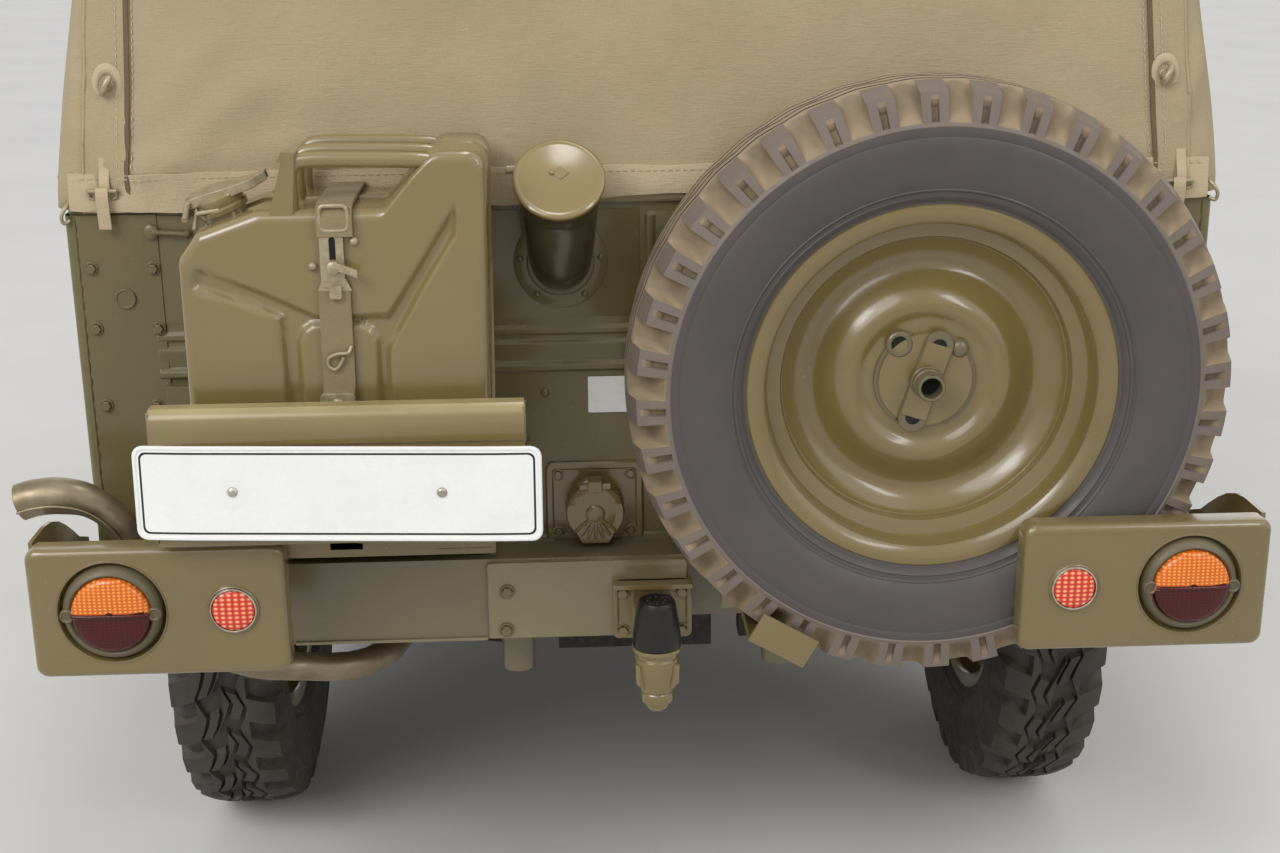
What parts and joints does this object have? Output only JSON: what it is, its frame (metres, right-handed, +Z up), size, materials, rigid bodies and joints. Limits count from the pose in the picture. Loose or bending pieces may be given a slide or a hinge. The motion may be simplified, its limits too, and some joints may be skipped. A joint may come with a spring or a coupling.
{
  "type": "light army 4x4 car",
  "caption": "Light open army 4x4 car with a canvas top, framed canvas doors, rear spare wheel, fuel can and tow hitch.",
  "frame": {"origin": "centre of the bounding box at ground level", "axes": "+X to the car's right, +Y forward, +Z up"},
  "size_m": [1.53, 3.5043, 1.735],
  "materials": {
    "olive_paint": "gloss",
    "panel_paint": "satin",
    "canvas": "woven",
    "clear_sheet": "flexible clear",
    "glass": "clear",
    "tyre_rubber": "worn",
    "spare_rubber": "worn",
    "black_metal": "satin",
    "black_rubber": "matt",
    "iron": "rough",
    "exhaust_steel": "heat stained",
    "mirror_face": "polished",
    "lamp_lens": "clear colour",
    "reflector_red": "clear colour",
    "lamp_chrome": "polished",
    "seat_cover": "grained",
    "wheel_plastic": "moulded",
    "plate_white": "gloss"
  },
  "bodies": {
    "root": {"chassis_frame": "olive_paint", "front_bumper": "olive_paint", "body_tub": "panel_paint", "front_wings": "olive_paint", "headlamps": "lamp_chrome", "windscreen_frame": "olive_paint", "windscreen_glass": "glass", "canvas_top": "canvas", "rear_window": "clear_sheet", "top_bows": "olive_paint", "dashboard": "olive_paint", "steering_column": "black_metal", "front_seats": "seat_cover", "rear_bench": "seat_cover", "seat_frames": "olive_paint", "engine_block": "iron", "front_axle": "black_metal", "rear_axle": "black_metal", "spare_rim": "olive_paint", "spare_tyre": "spare_rubber", "spare_carrier": "olive_paint", "can_carrier": "olive_paint", "jerrycan": "olive_paint", "plate_light_box": "olive_paint", "number_plate": "plate_white", "lamp_boxes": "olive_paint", "lamp_lenses": "lamp_lens", "reflectors": "reflector_red", "filler_neck": "black_rubber", "trailer_socket": "olive_paint", "tow_hitch": "olive_paint", "exhaust": "exhaust_steel", "mirrors": "mirror_face"},
    "door_front_left": {"door_front_left": "canvas", "door_pane_front_left": "clear_sheet"},
    "wheel_front_left": {"rim_front_left": "olive_paint", "tyre_front_left": "tyre_rubber"},
    "door_rear_left": {"door_rear_left": "canvas", "door_pane_rear_left": "clear_sheet"},
    "wheel_rear_left": {"rim_rear_left": "olive_paint", "tyre_rear_left": "tyre_rubber"},
    "steer_left": {"knuckle_left": "iron"},
    "door_front_right": {"door_front_right": "canvas", "door_pane_front_right": "clear_sheet"},
    "wheel_front_right": {"rim_front_right": "olive_paint", "tyre_front_right": "tyre_rubber"},
    "door_rear_right": {"door_rear_right": "canvas", "door_pane_rear_right": "clear_sheet"},
    "wheel_rear_right": {"rim_rear_right": "olive_paint", "tyre_rear_right": "tyre_rubber"},
    "steer_right": {"knuckle_right": "iron"},
    "steering": {"steering_wheel": "wheel_plastic"},
    "hood": {"hood": "olive_paint"},
    "filler_lid": {"filler_lid": "olive_paint"}
  },
  "joints": [
    {"name": "steer_left", "type": "hinge", "parent": "root", "child": "steer_left", "pos_m": [-0.505, 1.0575, 0.365], "axis": [0, 0, 1], "range_deg": [-28, 28]},
    {"name": "steer_right", "type": "hinge", "parent": "root", "child": "steer_right", "pos_m": [0.505, 1.0575, 0.365], "axis": [0, 0, 1], "range_deg": [-28, 28]},
    {"name": "steering_wheel_turn", "type": "hinge", "parent": "root", "child": "steering", "pos_m": [-0.33, 0.0925, 1.015], "axis": [0, -0.7986, 0.6018], "range_deg": [-425, 425]},
    {"name": "spin_front_left", "type": "hinge", "parent": "steer_left", "child": "wheel_front_left", "pos_m": [-0.6025, 1.0575, 0.365], "axis": [1, 0, 0], "continuous": true},
    {"name": "spin_rear_left", "type": "hinge", "parent": "root", "child": "wheel_rear_left", "pos_m": [-0.6025, -0.9425, 0.365], "axis": [1, 0, 0], "continuous": true},
    {"name": "door_front_left_swing", "type": "hinge", "parent": "root", "child": "door_front_left", "pos_m": [-0.708, 0.3325, 0.9], "axis": [0, 0, -1], "range_deg": [0, 70]},
    {"name": "door_rear_left_swing", "type": "hinge", "parent": "root", "child": "door_rear_left", "pos_m": [-0.708, -0.3375, 0.9], "axis": [0, 0, -1], "range_deg": [0, 70]},
    {"name": "spin_front_right", "type": "hinge", "parent": "steer_right", "child": "wheel_front_right", "pos_m": [0.6025, 1.0575, 0.365], "axis": [1, 0, 0], "continuous": true},
    {"name": "spin_rear_right", "type": "hinge", "parent": "root", "child": "wheel_rear_right", "pos_m": [0.6025, -0.9425, 0.365], "axis": [1, 0, 0], "continuous": true},
    {"name": "door_front_right_swing", "type": "hinge", "parent": "root", "child": "door_front_right", "pos_m": [0.708, 0.3325, 0.9], "axis": [0, 0, 1], "range_deg": [0, 70]},
    {"name": "door_rear_right_swing", "type": "hinge", "parent": "root", "child": "door_rear_right", "pos_m": [0.708, -0.3375, 0.9], "axis": [0, 0, 1], "range_deg": [0, 70]},
    {"name": "hood_lift", "type": "hinge", "parent": "root", "child": "hood", "pos_m": [0, 0.3995, 1.10688], "axis": [1, 0, 0], "range_deg": [0, 60]},
    {"name": "filler_lid_lift", "type": "hinge", "parent": "root", "child": "filler_lid", "pos_m": [-0.106, -1.5196, 1.12692], "axis": [-1, 0, 0], "range_deg": [0, 95]}
  ],
  "couplings": [
    {"joint": "steer_right", "follows": "steer_left", "ratio": 1},
    {"joint": "steering_wheel_turn", "follows": "steer_left", "ratio": 15}
  ]
}
